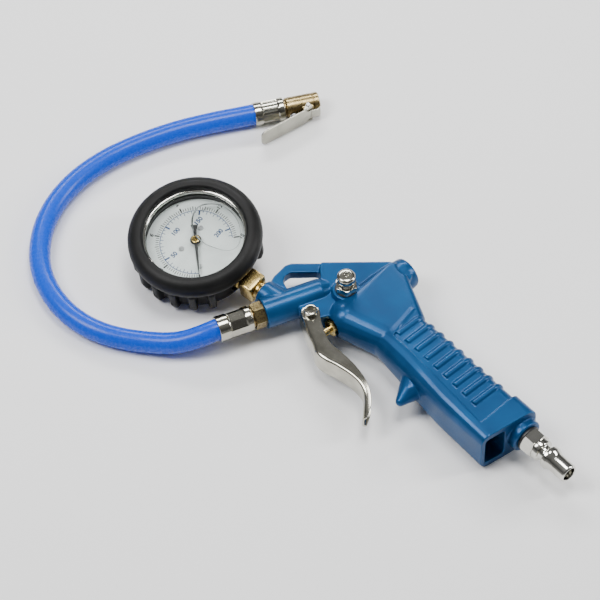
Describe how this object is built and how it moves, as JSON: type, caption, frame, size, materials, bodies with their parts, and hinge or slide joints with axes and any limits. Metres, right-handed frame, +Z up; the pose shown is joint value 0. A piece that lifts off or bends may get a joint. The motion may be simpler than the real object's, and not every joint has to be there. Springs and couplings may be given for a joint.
{
  "type": "tyre inflator with gauge",
  "caption": "Pistol-grip tyre inflator with a rubber-booted dial gauge, a spring trigger, a free hose and a clip-on valve chuck.",
  "frame": {"origin": "on the surface it lies on, under the middle of the gun and gauge, hose left out", "axes": "+Z up off the surface, out of the gun's left side and the dial; +Y from the grip's end towards the gauge; +X from the muzzle to the rear"},
  "size_m": [0.2392, 0.3387, 0.0411],
  "materials": {
    "blue_paint": "semi-gloss metallic blue enamel on a die casting",
    "chrome_plate": "bright nickel-chrome plate",
    "nickel_steel": "nickel-plated pressed steel, slightly satin",
    "steel": "plain steel",
    "spring_steel": "spring wire",
    "brass": "turned brass",
    "dark_brass": "turned brass, tarnished",
    "seal_rubber": "smooth nitrile rubber",
    "boot_rubber": "moulded satin black rubber",
    "black_steel": "black painted steel case",
    "hose_blue": "bright blue hose with a fine woven sheen",
    "lens_clear": "clear lens",
    "dial_white": "white enamelled sheet",
    "needle_black": "matt black"
  },
  "bodies": {
    "gun": {"gun_body": "blue_paint", "pivot_bolt": "chrome_plate", "pivot_nut": "chrome_plate", "valve_gland": "brass", "gland_oring": "seal_rubber", "chamber_plug": "brass", "chamber_oring": "seal_rubber", "bleed_body": "chrome_plate", "bleed_washer": "seal_rubber", "inlet_plug": "chrome_plate", "inlet_seal": "seal_rubber", "hose_adapter": "dark_brass", "valve_spring": "spring_steel", "bleed_spring": "spring_steel", "gauge_socket": "brass", "gauge_case": "black_steel", "bezel": "chrome_plate", "lens": "lens_clear", "lens_gasket": "seal_rubber", "dial": "dial_white", "dial_screws": "steel", "stop_pin": "steel", "fill_plug": "seal_rubber", "gauge_boot": "boot_rubber", "movement_frame": "brass", "bourdon_tube": "brass", "hairspring": "brass", "hose": "hose_blue", "gun_ferrule": "nickel_steel", "chuck_ferrule": "nickel_steel", "chuck_body": "dark_brass", "chuck_seal": "seal_rubber", "chuck_depressor": "brass", "lever_pin": "steel", "lever_spring": "spring_steel"},
    "trigger": {"trigger": "nickel_steel"},
    "valve": {"valve_stem": "brass", "poppet_seal": "seal_rubber"},
    "bleed_head": {"bleed_button": "chrome_plate"},
    "sector_gear": {"sector": "brass"},
    "movement_link": {"link": "brass"},
    "pointer": {"needle": "needle_black", "needle_hub": "brass", "pinion": "brass"},
    "thumb_lever": {"chuck_lever": "nickel_steel"}
  },
  "joints": [
    {"name": "trigger_pivot", "type": "hinge", "parent": "gun", "child": "trigger", "pos_m": [-0.0084, 0.023, 0.01634], "axis": [0, -0.0065, 1], "range_deg": [0, 10], "stiffness_Nm_per_rad": 0.58},
    {"name": "valve_slide", "type": "slide", "parent": "gun", "child": "valve", "axis": [0.9455, 0.3256, 0.0021], "range_m": [0, 0.0024], "deforming": ["valve_spring"]},
    {"name": "bleed_push", "type": "slide", "parent": "gun", "child": "bleed_head", "axis": [0, 0.0065, -1], "range_m": [0, 0.0025], "stiffness_N_per_m": 400, "deforming": ["bleed_spring"]},
    {"name": "sector_swing", "type": "hinge", "parent": "gun", "child": "sector_gear", "pos_m": [-0.03709, 0.09348, 0.01804], "axis": [-0.124, -0.0696, 0.9898], "range_deg": [0, 45], "stiffness_Nm_per_rad": 0.002},
    {"name": "needle_turn", "type": "hinge", "parent": "gun", "child": "pointer", "pos_m": [-0.0499, 0.099, 0.01683], "axis": [-0.124, -0.0696, 0.9898], "range_deg": [-270, 0]},
    {"name": "link_turn", "type": "hinge", "parent": "sector_gear", "child": "movement_link", "pos_m": [-0.03263, 0.08963, 0.02035], "axis": [-0.124, -0.0696, 0.9898], "range_deg": [-45, 0]},
    {"name": "lever_swing", "type": "hinge", "parent": "gun", "child": "thumb_lever", "pos_m": [0.05533, 0.17591, 0.0072], "axis": [0, 0, -1], "range_deg": [0, 12], "stiffness_Nm_per_rad": 0.05, "deforming": ["lever_spring"]}
  ],
  "couplings": [
    {"joint": "valve_slide", "follows": "trigger_pivot", "m_per_rad": 0.0137},
    {"joint": "needle_turn", "follows": "sector_swing", "ratio": -6},
    {"joint": "link_turn", "follows": "sector_swing", "ratio": -1}
  ]
}
